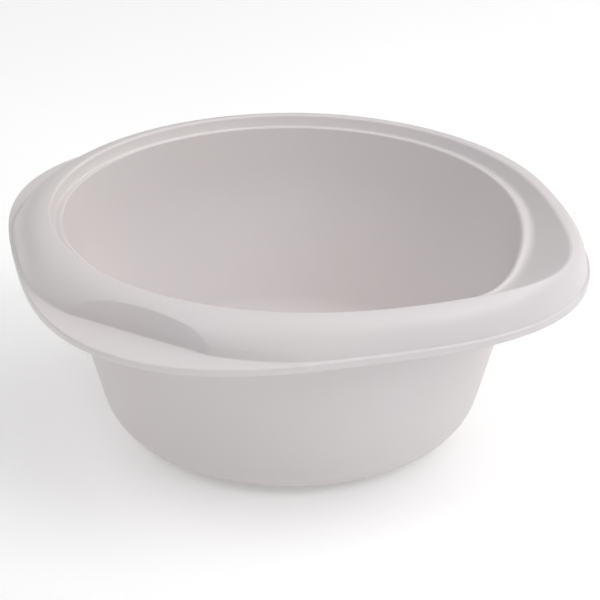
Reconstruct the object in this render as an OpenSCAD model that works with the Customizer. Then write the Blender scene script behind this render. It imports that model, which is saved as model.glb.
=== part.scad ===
// Round bedpan with a pouring lip, two finger grips and a turned-down flange.
// The origin is under the bowl's axis, on the plane that the base stands on.
// +X points to the pouring lip, +Y to the left grip and +Z up.

/* [Bowl] */
// Inside radius of the mouth
mouth_r = 135; // [120:1:150]
// Height of the mouth's edge above the base
mouth_h = 132.5; // [110:0.5:150]
// Thickness of the moulded wall
wall_t = 2.4; // [1.8:0.1:3]
// Outward lean of the lower wall, as radius gained for each unit of height
wall_lean = 0.256; // [0.2:0.004:0.3]
// Height at which the wall starts to curve upright
upright_h = 72; // [60:1:85]
// Outer radius of the rounded corner between base and wall
corner_r = 29; // [18:1:36]

/* [Crown] */
// Width of the bead round the mouth, from its inner edge to the groove
bead_w = 4.4; // [3.5:0.1:5]
// Depth of the groove under the mouth's edge
groove_depth = 1.2; // [0.8:0.1:2]
// Distance from the mouth's edge out to the crest's inner edge, at the rear
crest_in = 6.5; // [6:0.1:9]
// Height of the crest above the mouth's edge
crest_rise = 6.3; // [4:0.1:8]
// Radius of the crown's foot, as a gain over the mouth's radius
foot_gain = 33.3; // [32:0.1:34]
// How far the foot is drawn in beside the grips
foot_draw = 4.1; // [3:0.1:5]
// Radius that pulls the crown's round shoulder at the rear, as a gain over the mouth's
shoulder_gain = 21.6; // [20:0.1:22.5]
// How far the front half of the shoulder lies further out than the rear
shoulder_front = 7.5; // [5:0.1:8]

/* [Pouring lip] */
// How far the crest moves out at the lip
lip_reach = 29; // [24:0.1:30]
// Angle over which the lip fades to either side, in degrees
lip_spread = 16; // [14:0.5:18]
// How far the shoulder moves out at the lip
shoulder_reach = 15; // [12:0.1:15.5]
// How far the whole front half of the crest lies further out than the rear
front_shift = 3.8; // [2:0.1:5]
// How far the mouth's edge dips at the lip
lip_dip = 12.5; // [8:0.5:13]
// How far the mouth's edge rolls back at the lip
lip_roll = 2; // [0:0.5:3]
// How far the groove lies further out round the front half
groove_front = 4; // [2:0.5:5]
// How far the groove is drawn in again at the lip
groove_pull = 0.5; // [0:0.5:3]

/* [Grips] */
// Distance from the axis to the foot of each flat finger wall
grip_dist = 158.9; // [157:0.1:161]
// Lean of the finger walls towards the axis, as level run for each unit of height
grip_lean = 0.287; // [0.15:0.001:0.35]

/* [Flange] */
// Mean radius of the flange's outline, as a gain over the mouth's radius
flange_gain = 39.8; // [39.2:0.1:41]
// How far the outline swells at each corner and shrinks between them
flange_swell = 8.8; // [8:0.1:9]
// How far the side corners reach further than those at the lip and the rear
flange_wide = 1.4; // [0:0.1:2]
// How far the outline reaches further out at the lip, and less far at the rear
flange_front = 1.3; // [0:0.1:1.8]
// Angle by which the side corners are turned towards the lip, in degrees
corner_turn = 1.7; // [0:0.1:2]
// Drop from the mouth's edge to the flange's top face
ledge_drop = 12.5; // [11:0.5:14]
// Height of the turned-down edge, with the flange's own thickness
skirt_h = 4.6; // [4:0.1:8]

/* [Smoothness] */
// Rings round the swept rim
rings = 144; // [72:8:144]

/* [Hidden] */

$fn = 144;
shell_grey = [0.80, 0.785, 0.775];
// Steps in each rounded corner of the rim, in the crown's outer curve and up the wall
corner_steps = 2;
crest_steps = 6;
wall_steps = 12;

// The rim begins this far under the mouth's edge, and the wall is straight from there up.
rim_depth = 26;
join_h = mouth_h - rim_depth;
ledge_h = mouth_h - ledge_drop;
skirt_low = ledge_h - skirt_h;
crest_h = mouth_h + crest_rise;
foot_r = mouth_r + foot_gain;
flange_r = mouth_r + flange_gain;
// Angle to either side of a grip's middle at which its flat wall has ended
grip_half = 20;
// Share of the crown's outer curve after which it runs straight to its foot
brow_share = 0.85;
// Step back along the curve that gives its direction where it ends
brow_step = 0.1;
// Narrowest ledge left where the crown's foot comes close to the flange's edge
ledge_min = 1.6;
// Width of the change between the foot's own circle and the flange's edge
soft_span = 2.5;
// How far the foot may move out at the lip, which is past the flange's edge
foot_flare = 30;
// Power that keeps the foot's draw close to the grips
draw_power = 12;
// Height of the bead over the mouth's edge, and drop of the shoulder under the crest
bead_rise = 0.7;
shoulder_drop = 0.3;
// Rounding of the bead, the groove, the crest's inner edge, the crown's foot and the
// flange's edge, and what the lip adds to that of the bead
bead_round = 1.6;
groove_round = 1.2;
crest_round = 1.6;
foot_round = 0.8;
edge_round = 1.4;
lip_round = 8;
// Largest share of a side that the rounding at one of its ends takes, and the share
// that it takes of the wall at the mouth's edge
side_share = 0.45;
wall_share = 0.9;

// Inside radius of the wall: a cone up to upright_h, then a parabola up to the rim
// and a straight line that reaches the mouth's radius at the mouth's edge.
upright_gain = 9.5;
cone_top_r = mouth_r - upright_gain;
upright_rise = join_h - upright_h;
upright_bend = (wall_lean * (upright_rise + rim_depth) - upright_gain)
    / (upright_rise * (upright_rise + 2 * rim_depth));
function wall_r(z) =
    let (rise = min(max(z - upright_h, 0), upright_rise))
    cone_top_r + wall_lean * (z - upright_h)
    - upright_bend * rise * (z < join_h ? rise : 2 * (z - upright_h) - rise);
lean_angle = atan(wall_lean);
// Wall thickness measured level, on the leaning cone
level_t = wall_t / cos(lean_angle);
// Centre of the rounded corner, which touches the base plane and the cone
corner_mid_r = wall_r(corner_r) + level_t - corner_r / cos(lean_angle);
corner_top_h = corner_r - corner_r * sin(lean_angle);
// Angle from straight down at which the corner's two halves meet
corner_split = (90 - lean_angle) / 2;

function turned(a) = a > 180 ? a - 360 : a;
// Share of the lip at an angle from +X, from 1 at the lip to nearly 0 behind it
function lip(a) = 2 / (exp(turned(a) / lip_spread) + exp(-turned(a) / lip_spread));
// Share of the front, from 1 at the lip to 0 at the rear
function front(a) = pow(cos(a / 2), 4);
// Share of the flare that brings the crown's foot out to the flange at the lip. It
// ends halfway from the lip to the grips.
eighth = 45;
function flare(a) = abs(turned(a)) < eighth ? pow(cos(2 * a), 2) : 0;
// Angle to the middle of the nearer grip, at +Y or -Y
function off_grip(a) = abs(turned(a)) - 90;
// The flange's outline is a circle with four soft corners.
function outline_r(a) =
    flange_r + flange_front * cos(a) - flange_wide * cos(2 * a)
    + flange_swell * cos(4 * (a + corner_turn * sin(a)));
// Smaller of two radii, with a smooth change from one to the other
function soft_min(p, q) = (p + q - norm([p - q, soft_span])) / 2;
// The crown's foot stays inside the flange's edge, which it follows at the lip.
function foot_at(a) =
    soft_min(outline_r(a) - ledge_min, foot_r - foot_draw * pow(sin(a), draw_power) + foot_flare * flare(a));

// Corners of the rim's upper side at an angle, each as [radius, height, rounding].
// The fifth pulls the crown's outer curve, and the curve doesn't pass through it.
function rim_corners(a) =
    let (
        w = lip(a),
        crest_r = mouth_r + crest_in + front_shift * front(a) + lip_reach * w,
        groove_r = mouth_r + bead_w + groove_front * front(a) - groove_pull * w,
        shoulder_r = mouth_r + shoulder_gain + shoulder_front * front(a) + shoulder_reach * flare(a)
    )
    [
        [wall_r(join_h), join_h, 0],
        [mouth_r + lip_roll * w, mouth_h + bead_rise - lip_dip * w, bead_round + lip_round * w],
        [groove_r, mouth_h - groove_depth - lip_dip * w, groove_round + lip_round / 2 * w],
        [crest_r, crest_h, crest_round],
        [shoulder_r, crest_h - shoulder_drop, 0],
        [foot_at(a), ledge_h, foot_round],
        [outline_r(a), ledge_h, edge_round],
        [outline_r(a), skirt_low, 0]
    ];

// The underside is the upper side moved in by a depth, along both sides of a corner.
function unit(v) = v / norm(v);
function right_of(v) = [v[1], -v[0]];
function flat2(p) = [p[0], p[1]];
function moved_in(c, i, depth) =
    let (
        last = len(c) - 1,
        before = i == 0 ? undef : right_of(unit(flat2(c[i]) - flat2(c[i - 1]))),
        after = i == last ? undef : right_of(unit(flat2(c[i + 1]) - flat2(c[i]))),
        m = i == 0 || i == last ? undef : (before + after) / (1 + before * after)
    )
    i == 0 ? [c[0][0] + depth, c[0][1], 0]
    : i == last ? [c[i][0] - depth, c[i][1], 0]
    : [c[i][0] + depth * m[0], c[i][1] + depth * m[1], c[i][2]];

// A corner becomes a short curve that starts and ends on its two sides. It takes at
// most a share of each side, and nearly all of the wall's side at the mouth's edge.
function side_reach(q, p, share) = min(q[2], share * norm(flat2(p) - flat2(q)));
function curve_at(p, q, r, t) =
    pow(1 - t, 2) * flat2(p) + 2 * t * (1 - t) * flat2(q) + t * t * flat2(r);
function corner_curve(p, q, r, share = side_share) =
    let (
        start = flat2(q) + side_reach(q, p, share) * unit(flat2(p) - flat2(q)),
        end = flat2(q) + side_reach(q, r, side_share) * unit(flat2(r) - flat2(q))
    )
    [for (k = [0 : corner_steps]) curve_at(start, q, end, k / corner_steps)];

// Place along the curve p, q, r where it meets a finger wall, or 1 if it doesn't.
// The wall holds the points where radius * side + height * lean equals reach.
function wall_meets(p, q, r, side, reach) =
    let (
        f0 = p[0] * side + p[1] * grip_lean - reach,
        f1 = q[0] * side + q[1] * grip_lean - reach,
        f2 = r[0] * side + r[1] * grip_lean - reach,
        bend = f0 - 2 * f1 + f2,
        root = pow(f1 - f0, 2) - bend * f0
    )
    f1 < 0 && f2 < 0 ? 1
    : root < 0 ? 1
    : let (t = f0 / (f0 - f1 - sqrt(root))) t > 0 && t < 1 ? t : 1;

// The rim's section at an angle, on its upper side or at a depth under it
function section(a, depth) =
    let (
        upper = rim_corners(a),
        c = depth == 0 ? upper : [for (i = [0 : len(upper) - 1]) moved_in(upper, i, depth)],
        side = cos(off_grip(a)),
        beside_grip = abs(off_grip(a)) < eighth,
        reach = grip_dist + ledge_h * grip_lean - depth * sqrt(1 + pow(grip_lean, 2)),
        meets = beside_grip ? wall_meets(c[3], c[4], c[5], side, reach) : 1,
        brow_t = min(meets, brow_share),
        brow = curve_at(c[3], c[4], c[5], brow_t),
        back = curve_at(c[3], c[4], c[5], brow_t - brow_step),
        foot_cut = beside_grip ? (reach - c[5][1] * grip_lean) / side : 2 * c[5][0],
        foot = [min(c[5][0], foot_cut), c[5][1], c[5][2]],
        start_t = side_reach(c[3], c[4], side_share) / norm(flat2(c[4]) - flat2(c[3])) / 2
    )
    [
        flat2(c[0]),
        each corner_curve(c[0], c[1], c[2], wall_share),
        each corner_curve(c[1], c[2], c[3]),
        each corner_curve(c[2], c[3], c[4]),
        for (k = [1 : crest_steps - 1])
            curve_at(c[3], c[4], c[5], start_t + (brow_t - start_t) * k / crest_steps),
        each corner_curve(back, [brow[0], brow[1], foot_round], foot),
        each corner_curve(brow, foot, c[6]),
        each corner_curve(foot, c[6], c[7]),
        flat2(c[7])
    ];

// Places in a section of the middles of its rounded corners
corner_points = corner_steps + 1;
at_groove = 1 + corner_points + corner_steps / 2;
at_crest = at_groove + corner_points;
at_brow = at_crest + corner_points + crest_steps - 1;
at_foot = at_brow + corner_points;
at_edge = at_foot + corner_points;
at_hem = at_edge + corner_steps / 2 + 1;

module wall_grey() {
    color(shell_grey) children();
}

// A strip of the rim, from place u0 to u1 of its section and from angle a0 to a1
module rim_strip(u0, u1, a0 = 0, a1 = 360) {
    whole = a1 - a0 >= 360;
    count = round(rings * (a1 - a0) / 360);
    n = u1 - u0 + 1;
    loop = 2 * n;
    sections = [for (k = [0 : whole ? count - 1 : count])
        let (
            a = a0 + (a1 - a0) * k / count,
            top = section(a, 0),
            under = section(a, wall_t),
            path = [for (u = [u0 : u1]) top[u], for (u = [u1 : -1 : u0]) under[u]]
        )
        [for (p = path) [p[0] * cos(a), p[0] * sin(a), p[1]]]
    ];
    total = len(sections);
    spans = whole ? total : total - 1;
    sides = [for (k = [0 : spans - 1]) for (j = [0 : loop - 1])
        let (
            here = k * loop + j,
            beside = k * loop + (j + 1) % loop,
            ahead = ((k + 1) % total) * loop + j,
            across = ((k + 1) % total) * loop + (j + 1) % loop
        )
        each [[here, beside, across], [here, across, ahead]]
    ];
    // Each open end is closed with a row of quads between top and underside.
    ends = whole ? [] : [for (j = [0 : n - 2])
        each [
            [j, loop - 1 - j, loop - 2 - j],
            [j, loop - 2 - j, j + 1],
            [(total - 1) * loop + j, (total - 1) * loop + loop - 2 - j, (total - 1) * loop + loop - 1 - j],
            [(total - 1) * loop + j, (total - 1) * loop + j + 1, (total - 1) * loop + loop - 2 - j]
        ]
    ];
    polyhedron(points = [for (s = sections) each s], faces = concat(sides, ends), convexity = 8);
}

// Flat floor of the bowl, inside the rounded corner
module base_disc() {
    wall_grey() cylinder(h = wall_t, r = corner_mid_r);
}

// Part of the rounded corner, between two angles from straight down
module corner_ring(from, to) {
    reach = 2 * corner_r;
    wall_grey() rotate_extrude() translate([corner_mid_r, corner_r]) intersection() {
        difference() {
            circle(r = corner_r);
            circle(r = corner_r - wall_t);
        }
        polygon([[0, 0], reach * [sin(from), -cos(from)], reach * [sin(to), -cos(to)]]);
    }
}

// Rounded edge of the base
module base_corner() {
    corner_ring(0, corner_split);
}

// Upper part of the rounded corner, which runs up into the leaning wall
module lower_wall() {
    corner_ring(corner_split, 90 - lean_angle);
}

// Leaning wall of the bowl, up to where the rim begins
module bowl_wall() {
    foot_in = [corner_mid_r + (corner_r - wall_t) * cos(lean_angle),
        corner_r - (corner_r - wall_t) * sin(lean_angle)];
    foot_out = [corner_mid_r + corner_r * cos(lean_angle), corner_top_h];
    heights = [for (k = [0 : wall_steps]) upright_h + (join_h - upright_h) * k / wall_steps];
    wall_grey() rotate_extrude() polygon(concat(
        [foot_in],
        [for (z = heights) [wall_r(z), z]],
        [for (k = [wall_steps : -1 : 0])
            [wall_r(heights[k]) + level_t - (level_t - wall_t) * k / wall_steps, heights[k]]],
        [foot_out]
    ));
}

// Rounded bead along the mouth, down to the join with the wall
module mouth_bead() {
    wall_grey() rim_strip(0, at_groove);
}

// Inner face of the crown: a narrow groove wall that widens into the pouring lip
module crown_inner_face() {
    wall_grey() rim_strip(at_groove, at_crest);
}

// Crest of the crown, from its inner edge to its outer brow
module crown_crest() {
    wall_grey() rim_strip(at_crest, at_brow);
}

// Outer wall of the crown round the pouring lip, from grip to grip
module front_crown_wall() {
    wall_grey() rim_strip(at_brow, at_foot, grip_half - 90, 90 - grip_half);
}

// Outer wall of the crown behind the grips
module rear_crown_wall() {
    wall_grey() rim_strip(at_brow, at_foot, 90 + grip_half, 270 - grip_half);
}

// Flat upright wall behind the fingers, on one side
module finger_wall(middle) {
    wall_grey() rim_strip(at_brow, at_foot, middle - grip_half, middle + grip_half);
}

module left_finger_wall() {
    finger_wall(90);
}

module right_finger_wall() {
    finger_wall(270);
}

// Level ledge of the flange
module flange_ledge() {
    wall_grey() rim_strip(at_foot, at_edge);
}

// Turned-down edge of the flange, which the pan can hang by in a frame
module flange_skirt() {
    wall_grey() rim_strip(at_edge, at_hem);
}

base_disc();
base_corner();
lower_wall();
bowl_wall();
mouth_bead();
crown_inner_face();
crown_crest();
front_crown_wall();
rear_crown_wall();
left_finger_wall();
right_finger_wall();
flange_ledge();
flange_skirt();
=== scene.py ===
"""The looks of a round one-piece plastic bedpan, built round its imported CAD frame."""

import math

import bmesh
import bpy
from mathutils import Matrix, Vector


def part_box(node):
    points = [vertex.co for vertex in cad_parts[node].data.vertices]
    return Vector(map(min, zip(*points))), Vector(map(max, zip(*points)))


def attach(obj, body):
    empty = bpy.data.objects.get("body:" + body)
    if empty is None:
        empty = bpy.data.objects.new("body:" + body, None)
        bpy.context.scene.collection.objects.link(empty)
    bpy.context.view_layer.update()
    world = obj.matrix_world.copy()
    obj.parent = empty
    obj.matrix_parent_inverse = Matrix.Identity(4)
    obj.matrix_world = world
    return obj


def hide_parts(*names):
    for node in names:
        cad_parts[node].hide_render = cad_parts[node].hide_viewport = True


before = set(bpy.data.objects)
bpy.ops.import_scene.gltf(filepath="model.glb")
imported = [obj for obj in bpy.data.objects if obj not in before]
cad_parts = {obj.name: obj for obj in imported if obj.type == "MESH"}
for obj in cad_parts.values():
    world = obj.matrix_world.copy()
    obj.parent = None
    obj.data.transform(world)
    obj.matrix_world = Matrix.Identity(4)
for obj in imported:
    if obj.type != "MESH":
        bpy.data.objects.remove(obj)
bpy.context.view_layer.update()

MM = 0.001


# ---- Sizes, from the frame and from the design's own dimensions, in millimetres ----

def top_of(node):
    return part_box(node)[1].z / MM


def bottom_of(node):
    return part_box(node)[0].z / MM


WALL_T = top_of("base_disc")            # thickness of the moulded wall
MOUTH_R = 135.0                         # inside radius of the mouth
MOUTH_H = 132.5                         # height of the mouth's edge
CREST_RISE = 6.3                        # mouth's edge to the crest, before its edge is rounded
LEDGE_DROP = 12.5                       # mouth's edge to the flange's top face
LEDGE_H = MOUTH_H - LEDGE_DROP
SKIRT_LOW = bottom_of("flange_skirt")
JOIN_H = bottom_of("mouth_bead")        # where the bowl's wall ends and the rim begins
RIM_DEPTH = MOUTH_H - JOIN_H

WALL_LEAN = 0.256                       # radius gained for each unit of height
UPRIGHT_H = 72.0                        # height at which the wall starts to curve upright
UPRIGHT_GAIN = 9.5                      # radius gained from there up to the mouth's edge
CORNER_R = 29.0                         # outer radius of the corner between base and wall

BEAD_W = 4.4                            # mouth's edge to the groove
BEAD_RISE = 0.7
GROOVE_DEPTH = 1.2
GROOVE_FRONT = 4.0                      # how far the groove lies further out round the front
GROOVE_PULL = 0.5                       # how far it is drawn in again at the lip
CREST_IN = 6.5                          # mouth's edge to the crest's inner edge, at the rear
FRONT_SHIFT = 3.8                       # how far the crest lies further out round the front
LIP_REACH = 29.0                        # how far the crest moves out at the lip
LIP_SPREAD = 16.0                       # degrees over which the lip fades
LIP_DIP = 12.5                          # how far the mouth's edge dips at the lip
LIP_ROLL = 2.0                          # how far it rolls back there
SHOULDER_R = MOUTH_R + 21.6             # radius that pulls the crown's shoulder at the rear
SHOULDER_FRONT = 7.5                    # how far the shoulder lies further out round the front
SHOULDER_REACH = 15.0                   # how far it moves out at the lip
SHOULDER_DROP = 0.3
FOOT_R = MOUTH_R + 33.3                 # the crown's foot
FOOT_DRAW = 4.1                         # how far it is drawn in beside the grips
DRAW_POWER = 12                         # the higher, the closer to the grips it is drawn in
FOOT_FLARE = 30.0                       # how far it may move out at the lip
LEDGE_MIN = 1.6                         # narrowest ledge beside the foot
SOFT_SPAN = 2.5                         # how softly the foot meets that limit
FLANGE_R = MOUTH_R + 39.8               # mean radius of the flange's outline
FLANGE_SWELL = 8.8                      # how far the outline swells at its corners
FLANGE_WIDE = 1.4                       # how far its side corners reach further
FLANGE_FRONT = 1.3                      # how far it reaches further out at the lip
CORNER_TURN = 1.7                       # degrees by which the side corners are turned to the lip
GRIP_DIST = 158.9                       # axis to the foot of a finger wall
GRIP_LEAN = 0.287                       # its lean towards the axis
GRIP_END = 16.5                         # degrees from a grip's middle to its wall's end
QUARTER = 90                            # degrees from the lip to a grip's middle
EIGHTH = 45                             # degrees from the lip, or a grip, to the corner between
BROW_SHARE = 0.85                       # share of the crown's outer curve before it runs straight
BROW_STEP = 0.1                         # share before its end that gives the curve's direction

BEAD_ROUND = 1.6
GROOVE_ROUND = 1.2
CREST_ROUND = 1.6
FOOT_ROUND = 0.8
EDGE_ROUND = 1.4                        # rounding of the flange's upper edge
LIP_ROUND = 8.0                         # what the lip adds to the bead's rounding
HEM_ROUND = 0.9                         # rounding of the skirt's lower edges
SIDE_SHARE = 0.45                       # share of a side that a rounded corner may take
WALL_SHARE = 0.9                        # share of the bowl's wall that the bead may take

RINGS = 720                             # sections round the axis
FINE_RINGS = 6                          # sections in place of each one near a grip's end
FINE_BAND = 2.5                         # degrees to either side of a grip's end
DISC_STEPS = 10                         # segments from the base's middle to its corner
BEND_STEPS = 24                         # segments round the corner between base and wall
WALL_STEPS = 40                         # segments from there up to the rim
ROUND_STEPS = 8                         # segments in each rounded corner of a section
CREST_STEPS = 28                        # segments in the crown's outer curve


# ---- Colours, surfaces, camera and lights; lengths are in metres from here on ----

WHITE = (1, 1, 1, 1)
PLASTIC_WARM = (0.760, 0.718, 0.707, 1)
PLASTIC_COOL = (0.749, 0.712, 0.722, 1)
PLASTIC_SPECK = (0.722, 0.682, 0.676, 1)
PLASTIC_SCUFF = (0.806, 0.768, 0.760, 1)
PLASTIC_IOR = 1.49
PLASTIC_ROUGH = (0.36, 0.44)            # roughness of its shiniest and its dullest patches
SCUFF_ROUGH = 0.15                      # what a scuff adds to that
SPECK_SHARE = 0.25                      # how strongly the specks show
SCUFF_TOP = 0.03                        # height at which the scuffs have thinned out
SCUFF_LEFT = 0.12                       # share of them left above it
FLOW_STRETCH = (1, 1, 0.35)
SCUFF_STRETCH = (1, 9, 6)
SCUFF_TURN = (0.3, 0.2, 0.7)            # radians
NO_TURN = (0, 0, 0)

# Patches of noise, as its (scale, detail, roughness) and the span of it that fades them in.
FLOW = (9, 3, 0.5), (0.3, 0.7)
SPECKS = (420, 2, 0.5), (0.62, 0.8)
SCUFFS = (60, 4, 0.65), (0.6, 0.75)
SHEEN = (30, 4, 0.5), (0.3, 0.7)
MOTTLE = (6, 4, 0.5), (0.3, 0.7)

# Reliefs, as the noise's (scale, detail, roughness), their depth and their strength.
WAVES = (22, 2, 0.5), 0.0012, 0.10
PEEL = (260, 3, 0.5), 0.0003, 0.12
GRAIN = (1500, 2, 0.5), 0.0001, 0.2

FLOOR_HALF = 6.0
FLOOR_TONES = (0.93, 0.93, 0.93, 1), (0.95, 0.95, 0.95, 1)
FLOOR_ROUGH = 0.85
FLOOR_GLOW = 0.20                       # light given off by the pale sweep beside the pan
FAR_GLOW = 0.40                         # and far from it
GLOW_SPAN = (0.8, 4.0)                  # distance from the axis over which it rises
HORIZON_LIGHT = 0.18
CEILING_LIGHT = 0.22

# Lamps, as name, place, side of the square and watts.
LAMPS = [
    ("side", (1.45, 0.1, 1.6), 1.6, 21),
    ("back", (0.6, 1.7, 1.5), 1.6, 15),
    ("front", (-0.6, -1.2, 1.9), 1.2, 13),
    ("left", (-1.8, 0.2, 1.2), 1.4, 3),
    ("overhead", (0.05, 0, 2.0), 1.2, 3),
]
LAMP_AIM = (0, 0, 0.1)

CAMERA_TURN = 31.4                      # degrees from the -Y direction towards +X
CAMERA_RISE = 23.85                     # degrees above the level of the mouth
CAMERA_DIST = 1.215                     # from the middle of the mouth
CAMERA_LENS = 122.8                     # focal length in millimetres
CAMERA_SENSOR = 36
CAMERA_YAW = 0.25                       # degrees to the right of the mouth's middle
CAMERA_PITCH = -2.476                   # degrees above it
CAMERA_ROLL = 0.22                      # degrees, to the left


# ---- The moulding's section at any angle ----

def cos_deg(a):
    return math.cos(math.radians(a))


def sin_deg(a):
    return math.sin(math.radians(a))


def wall_r(z):
    """Inside radius of the bowl: a cone, then a parabola up to the rim, then a straight line."""
    total = JOIN_H - UPRIGHT_H
    bend = (WALL_LEAN * (total + RIM_DEPTH) - UPRIGHT_GAIN) / (total * (total + 2 * RIM_DEPTH))
    over = z - UPRIGHT_H
    rise = min(max(over, 0), total)
    run = rise if z < JOIN_H else 2 * over - rise
    return MOUTH_R - UPRIGHT_GAIN + WALL_LEAN * over - bend * rise * run


def turned(a):
    """The same angle between -180 and 180 degrees."""
    return (a + 180) % 360 - 180


def lip(a):
    """Share of the lip at an angle, from 1 at the lip to nearly 0 behind it."""
    return 1 / math.cosh(turned(a) / LIP_SPREAD)


def front(a):
    """Share of the front half at an angle, from 1 at the lip to 0 at the rear."""
    return cos_deg(a / 2) ** 4


def flare(a):
    """Share of the lip's flare at an angle, from 1 at the lip to 0 at the corners beside it."""
    return cos_deg(2 * a) ** 2 if abs(turned(a)) < EIGHTH else 0.0


def off_grip(a):
    """Degrees from the middle of the nearer grip, less than 0 towards the lip."""
    return abs(turned(a)) - QUARTER


def outline_r(a):
    """Radius of the flange's outline."""
    corners = cos_deg(4 * (a + CORNER_TURN * sin_deg(a)))
    return (FLANGE_R + FLANGE_FRONT * cos_deg(a) - FLANGE_WIDE * cos_deg(2 * a)
            + FLANGE_SWELL * corners)


def foot_at(a):
    """Radius of the crown's foot, which stays inside the flange's edge."""
    edge = outline_r(a) - LEDGE_MIN
    own = FOOT_R - FOOT_DRAW * cos_deg(a - QUARTER) ** DRAW_POWER + FOOT_FLARE * flare(a)
    return (edge + own - math.hypot(edge - own, SOFT_SPAN)) / 2


def rim_corners(a):
    """The rim's upper side at an angle: the (place, rounding) of the wall's end, bead, groove,
    crest, the shoulder that pulls the crown's outer curve, foot, flange edge and hem."""
    w = lip(a)
    f = front(a)
    groove_r = MOUTH_R + BEAD_W + GROOVE_FRONT * f - GROOVE_PULL * w
    crest_r = MOUTH_R + CREST_IN + FRONT_SHIFT * f + LIP_REACH * w
    crest_h = MOUTH_H + CREST_RISE
    shoulder_r = SHOULDER_R + SHOULDER_FRONT * f + SHOULDER_REACH * flare(a)
    return [
        (Vector((wall_r(JOIN_H), JOIN_H)), 0),
        (Vector((MOUTH_R + LIP_ROLL * w, MOUTH_H + BEAD_RISE - LIP_DIP * w)),
         BEAD_ROUND + LIP_ROUND * w),
        (Vector((groove_r, MOUTH_H - GROOVE_DEPTH - LIP_DIP * w)),
         GROOVE_ROUND + LIP_ROUND / 2 * w),
        (Vector((crest_r, crest_h)), CREST_ROUND),
        (Vector((shoulder_r, crest_h - SHOULDER_DROP)), 0),
        (Vector((foot_at(a), LEDGE_H)), FOOT_ROUND),
        (Vector((outline_r(a), LEDGE_H)), EDGE_ROUND),
        (Vector((outline_r(a), SKIRT_LOW)), 0),
    ]


def right_of(v):
    return Vector((v.y, -v.x)).normalized()


def moved_in(corners, depth):
    """The corners moved in by a depth along both sides of each."""
    places = [p for p, _ in corners]
    made = [places[0] + Vector((depth, 0))]
    for before, here, after in zip(places, places[1:], places[2:]):
        n0, n1 = right_of(here - before), right_of(after - here)
        made.append(here + depth * (n0 + n1) / (1 + n0.dot(n1)))
    made.append(places[-1] - Vector((depth, 0)))
    return [(p, r) for p, (_, r) in zip(made, corners)]


def curve_at(p, q, r, t):
    return (1 - t) ** 2 * p + 2 * t * (1 - t) * q + t * t * r


def side_reach(q, p, rounding, share=SIDE_SHARE):
    """How far a rounded corner at q reaches along its side towards p."""
    return min(rounding, share * (p - q).length)


def corner_curve(p, q, r, rounding, share=SIDE_SHARE):
    """A short curve at q that takes at most a share of its side towards p."""
    start = q + side_reach(q, p, rounding, share) * (p - q).normalized()
    end = q + side_reach(q, r, rounding) * (r - q).normalized()
    return [curve_at(start, q, end, k / ROUND_STEPS) for k in range(ROUND_STEPS + 1)]


def wall_meets(p, q, r, side, reach):
    """Place along the curve p, q, r where it meets a leaning finger wall, or 1."""
    f0, f1, f2 = (v.x * side + v.y * GRIP_LEAN - reach for v in (p, q, r))
    root = (f1 - f0) ** 2 - (f0 - 2 * f1 + f2) * f0
    if (f1 < 0 and f2 < 0) or root < 0:
        return 1.0
    t = f0 / (f0 - f1 - math.sqrt(root))
    return t if 0 < t < 1 else 1.0


def section(a, depth):
    """The rim at an angle and a depth under its upper side: its points, flange edge and hem."""
    places, rounding = zip(*moved_in(rim_corners(a), depth))
    crest, shoulder, foot, edge, hem = places[3:]
    side = cos_deg(off_grip(a))
    reach = GRIP_DIST + LEDGE_H * GRIP_LEAN - depth * math.hypot(1, GRIP_LEAN)
    brow_t = BROW_SHARE
    if abs(off_grip(a)) < EIGHTH:
        brow_t = min(wall_meets(crest, shoulder, foot, side, reach), BROW_SHARE)
        foot = Vector((min(foot.x, (reach - foot.y * GRIP_LEAN) / side), foot.y))
    crown = crest, shoulder, places[5]
    brow, back = (curve_at(*crown, t) for t in (brow_t, brow_t - BROW_STEP))
    start_t = side_reach(crest, shoulder, rounding[3]) / (shoulder - crest).length / 2
    end_t = brow_t - BROW_STEP * side_reach(brow, back, FOOT_ROUND) / (brow - back).length
    made = [places[0]]
    for k, share in ((1, WALL_SHARE), (2, SIDE_SHARE), (3, SIDE_SHARE)):
        made += corner_curve(places[k - 1], places[k], places[k + 1], rounding[k], share)
    made += [curve_at(*crown, start_t + (end_t - start_t) * k / CREST_STEPS)
             for k in range(1, CREST_STEPS)]
    made += corner_curve(back, brow, foot, FOOT_ROUND)
    made += corner_curve(brow, foot, edge, rounding[5])
    made += corner_curve(foot, edge, hem, rounding[6])
    return made, edge, hem


def rim_loop(a):
    """Upper side of the rim out to the hem, then its underside back to the wall."""
    top, edge, hem = section(a, 0)
    under, under_edge, under_hem = section(a, WALL_T)
    return (top + corner_curve(edge, hem, under_hem, HEM_ROUND)
            + corner_curve(hem, under_hem, under_edge, HEM_ROUND) + under[::-1])


# ---- The bowl, as (radius, height) points ----

def bowl_lean():
    """The lower wall's lean as an angle, and the wall's thickness measured level."""
    lean = math.atan(WALL_LEAN)
    return lean, WALL_T / math.cos(lean)


def base_path(z, bend_r):
    """From the base's middle out along a face at height z, then round the corner to the wall."""
    lean, level_t = bowl_lean()
    mid_r = wall_r(CORNER_R) + level_t - CORNER_R / math.cos(lean)
    pts = [Vector((mid_r * k / DISC_STEPS, z)) for k in range(DISC_STEPS + 1)]
    sweep = math.pi / 2 - lean
    for k in range(1, BEND_STEPS + 1):
        t = sweep * k / BEND_STEPS
        pts.append(Vector((mid_r + bend_r * math.sin(t), CORNER_R - bend_r * math.cos(t))))
    return pts


def bowl_inside():
    """Inside of the bowl from the floor's middle up to the join."""
    pts = base_path(WALL_T, CORNER_R - WALL_T)
    start = pts[-1].y
    for k in range(1, WALL_STEPS):
        z = start + (JOIN_H - start) * k / WALL_STEPS
        pts.append(Vector((wall_r(z), z)))
    return pts


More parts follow.
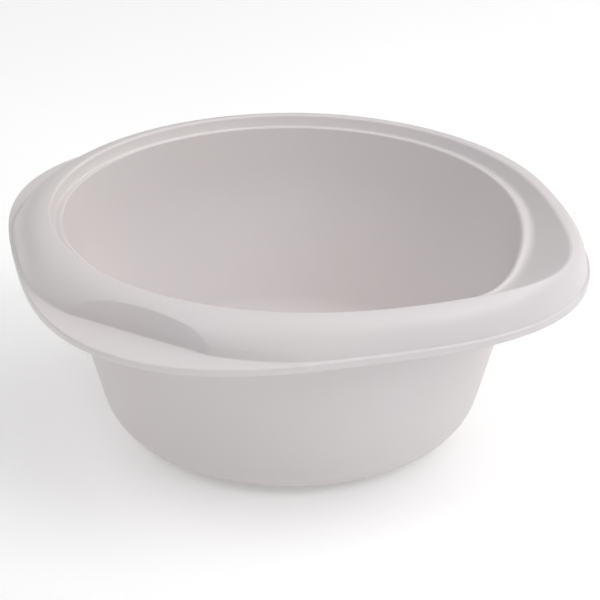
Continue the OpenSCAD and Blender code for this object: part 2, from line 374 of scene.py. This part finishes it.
def bowl_outside():
    """Outside of the bowl from the join down to the base's middle."""
    lean, level_t = bowl_lean()
    foot = CORNER_R - CORNER_R * math.sin(lean)
    pts = []
    for k in range(1, WALL_STEPS):
        z = JOIN_H + (foot - JOIN_H) * k / WALL_STEPS
        share = max(0.0, min(1.0, (z - UPRIGHT_H) / (JOIN_H - UPRIGHT_H)))
        pts.append(Vector((wall_r(z) + level_t - (level_t - WALL_T) * share, z)))
    return pts + base_path(0, CORNER_R)[::-1]


# ---- The one closed mesh ----

def ring_angles():
    """Angles of the sections, which stand closer together at the finger walls' ends."""
    step = 360 / RINGS
    made = []
    for k in range(RINGS):
        a = k * step
        near = abs(abs(off_grip(a + step / 2)) - GRIP_END) < FINE_BAND
        parts = FINE_RINGS if near else 1
        made += [a + step * j / parts for j in range(parts)]
    return made


def shown(name, data):
    """A new object in the scene."""
    made = bpy.data.objects.new(name, data)
    bpy.context.scene.collection.objects.link(made)
    return made


def make_shell():
    inside, outside = bowl_inside(), bowl_outside()
    floor_mid, base_mid = 0, 1
    verts = [Vector((0, 0, path_end.y)) * MM for path_end in (inside[0], outside[-1])]
    faces, loops = [], []
    for a in ring_angles():
        ca, sa = cos_deg(a), sin_deg(a)
        path = inside[1:] + rim_loop(a) + outside[:-1]
        loops.append(range(len(verts), len(verts) + len(path)))
        verts += [Vector((p.x * ca, p.x * sa, p.y)) * MM for p in path]
    for here, ahead in zip(loops, loops[1:] + loops[:1]):
        faces.append((floor_mid, here[0], ahead[0]))
        for j in range(len(here) - 1):
            faces.append((here[j], here[j + 1], ahead[j + 1], ahead[j]))
        faces.append((here[-1], base_mid, ahead[-1]))
    mesh = bpy.data.meshes.new("pan_shell")
    mesh.from_pydata(verts, [], faces)
    mesh.update()
    bm = bmesh.new()
    bm.from_mesh(mesh)
    bmesh.ops.recalc_face_normals(bm, faces=bm.faces)
    bm.to_mesh(mesh)
    bm.free()
    for p in mesh.polygons:
        p.use_smooth = True
    return shown("pan_shell", mesh)


# ---- Materials ----

def feed(nt, socket, value):
    """Gives a socket another node's output, or a number or colour of its own."""
    if isinstance(value, bpy.types.NodeSocket):
        nt.links.new(value, socket)
    else:
        socket.default_value = value


def noise(nt, coords, scale, detail, roughness):
    node = nt.nodes.new("ShaderNodeTexNoise")
    for name, value in (("Scale", scale), ("Detail", detail), ("Roughness", roughness),
                        ("Vector", coords)):
        feed(nt, node.inputs[name], value)
    return node.outputs["Fac"]


def mapped(nt, value, from_min, from_max, to_min, to_max):
    node = nt.nodes.new("ShaderNodeMapRange")
    node.clamp = True
    for name, number in (("From Min", from_min), ("From Max", from_max),
                         ("To Min", to_min), ("To Max", to_max), ("Value", value)):
        feed(nt, node.inputs[name], number)
    return node.outputs["Result"]


def patches(nt, coords, kind, low=0, high=1):
    """Patches of noise that fade from a low value between them to a high one inside."""
    texture, span = kind
    return mapped(nt, noise(nt, coords, *texture), *span, low, high)


def mixed(nt, share, first, second):
    node = nt.nodes.new("ShaderNodeMix")
    node.data_type = "RGBA"
    factor, colour_a, colour_b = node.inputs[0], node.inputs[6], node.inputs[7]
    for socket, value in ((factor, share), (colour_a, first), (colour_b, second)):
        feed(nt, socket, value)
    return node.outputs[2]


def maths(nt, operation, *values):
    node = nt.nodes.new("ShaderNodeMath")
    node.operation = operation
    for socket, value in zip(node.inputs, values):
        feed(nt, socket, value)
    return node.outputs["Value"]


def stretched(nt, coords, scale, rotation):
    node = nt.nodes.new("ShaderNodeMapping")
    for name, value in (("Scale", scale), ("Rotation", rotation), ("Vector", coords)):
        feed(nt, node.inputs[name], value)
    return node.outputs["Vector"]


def relief(nt, coords, kind, under=None):
    """A shallow relief on top of the one under it."""
    texture, depth, strength = kind
    node = nt.nodes.new("ShaderNodeBump")
    for name, value in (("Distance", depth), ("Strength", strength),
                        ("Height", noise(nt, coords, *texture))):
        feed(nt, node.inputs[name], value)
    if under:
        feed(nt, node.inputs["Normal"], under)
    return node.outputs["Normal"]


def new_material(name):
    """A material with its node tree, its surface node and the object's own coordinates."""
    mat = bpy.data.materials.new(name)
    mat.use_nodes = True
    nt = mat.node_tree
    place = nt.nodes.new("ShaderNodeTexCoord").outputs["Object"]
    return mat, nt, nt.nodes["Principled BSDF"].inputs, place


def plastic():
    """Moulded polypropylene: faint flow marks and specks, a fine grain, soft waves and scuffs."""
    mat, nt, surface, place = new_material("moulded_plastic")

    # The melt flows up the wall from the base's middle, so the marks are drawn out in height.
    flow = patches(nt, stretched(nt, place, FLOW_STRETCH, NO_TURN), FLOW)
    specks = patches(nt, place, SPECKS, high=SPECK_SHARE)
    toned = mixed(nt, specks, mixed(nt, flow, PLASTIC_WARM, PLASTIC_COOL), PLASTIC_SPECK)

    # Scuffs gather on the underside and the foot of the wall, where the pan slides on shelves.
    split = nt.nodes.new("ShaderNodeSeparateXYZ")
    feed(nt, split.inputs["Vector"], place)
    low_down = mapped(nt, split.outputs["Z"], 0, SCUFF_TOP, 1, SCUFF_LEFT)
    scuffs = patches(nt, stretched(nt, place, SCUFF_STRETCH, SCUFF_TURN), SCUFFS)
    worn = maths(nt, "MULTIPLY", scuffs, low_down)
    feed(nt, surface["Base Color"], mixed(nt, worn, toned, PLASTIC_SCUFF))

    dull = maths(nt, "MULTIPLY_ADD", worn, SCUFF_ROUGH, patches(nt, place, SHEEN, *PLASTIC_ROUGH))
    feed(nt, surface["Roughness"], dull)
    feed(nt, surface["IOR"], PLASTIC_IOR)

    waves = relief(nt, place, WAVES)
    peel = relief(nt, place, PEEL, waves)
    feed(nt, surface["Normal"], relief(nt, place, GRAIN, peel))
    return mat


def floor_material():
    """Pale sweep of seamless paper, with a faint mottle."""
    mat, nt, surface, place = new_material("pale_floor")
    feed(nt, surface["Base Color"], mixed(nt, patches(nt, place, MOTTLE), *FLOOR_TONES))
    feed(nt, surface["Roughness"], FLOOR_ROUGH)

    # The sweep glows more away from the pan, so that it stays pale as the lamps' light fades.
    feed(nt, surface["Emission Color"], WHITE)
    distance = nt.nodes.new("ShaderNodeVectorMath")
    distance.operation = "LENGTH"
    feed(nt, distance.inputs[0], place)
    feed(nt, surface["Emission Strength"],
         mapped(nt, distance.outputs["Value"], *GLOW_SPAN, FLOOR_GLOW, FAR_GLOW))
    return mat


# ---- The set ----

def swung(first, second, angle):
    """Two axes at right angles, with the first swung an angle towards the second."""
    c, s = cos_deg(angle), sin_deg(angle)
    return c * first + s * second, c * second - s * first


def make_camera():
    level = cos_deg(CAMERA_RISE)
    back = Vector((sin_deg(CAMERA_TURN) * level, -cos_deg(CAMERA_TURN) * level,
                   sin_deg(CAMERA_RISE)))
    look = -back
    right = look.cross(Vector((0, 0, 1))).normalized()
    up = right.cross(look)
    look, right = swung(look, right, CAMERA_YAW)
    look, up = swung(look, up, CAMERA_PITCH)
    right, up = swung(right, up, CAMERA_ROLL)
    data = bpy.data.cameras.new("camera")
    data.lens = CAMERA_LENS
    data.sensor_width = CAMERA_SENSOR
    cam = shown("camera", data)
    pose = Matrix((right, up, -look)).transposed().to_4x4()
    pose.translation = Vector((0, 0, MOUTH_H * MM)) + back * CAMERA_DIST
    cam.matrix_world = pose
    bpy.context.scene.camera = cam


def make_lamp(name, place, side, watts):
    data = bpy.data.lights.new(name, "AREA")
    data.shape = "SQUARE"
    data.size = side
    data.energy = watts
    lamp = shown(name, data)
    lamp.location = place
    lamp.rotation_mode = "QUATERNION"
    lamp.rotation_quaternion = (Vector(LAMP_AIM) - Vector(place)).to_track_quat("-Z", "Y")


def make_floor():
    mesh = bpy.data.meshes.new("floor")
    s = FLOOR_HALF
    mesh.from_pydata([(-s, -s, 0), (s, -s, 0), (s, s, 0), (-s, s, 0)], [], [(0, 1, 2, 3)])
    mesh.materials.append(floor_material())
    shown("floor", mesh)


def make_world():
    """A big soft ceiling, a little brighter overhead than at the horizon."""
    world = bpy.data.worlds.new("studio")
    bpy.context.scene.world = world
    world.use_nodes = True
    nt = world.node_tree
    direction = nt.nodes.new("ShaderNodeTexCoord").outputs["Generated"]
    split = nt.nodes.new("ShaderNodeSeparateXYZ")
    feed(nt, split.inputs["Vector"], direction)
    sky = nt.nodes["Background"].inputs
    feed(nt, sky["Color"], WHITE)
    feed(nt, sky["Strength"],
         mapped(nt, split.outputs["Z"], 0, 1, HORIZON_LIGHT, CEILING_LIGHT))


shell = make_shell()
shell.data.materials.append(plastic())
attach(shell, "root")
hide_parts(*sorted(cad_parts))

make_floor()
make_world()
# The strongest light comes from the lip's side, then from behind and from the front left;
# weak ones from the left and overhead fill the shadows.
for lamp in LAMPS:
    make_lamp(*lamp)
make_camera()
bpy.context.scene.view_settings.view_transform = "Standard"
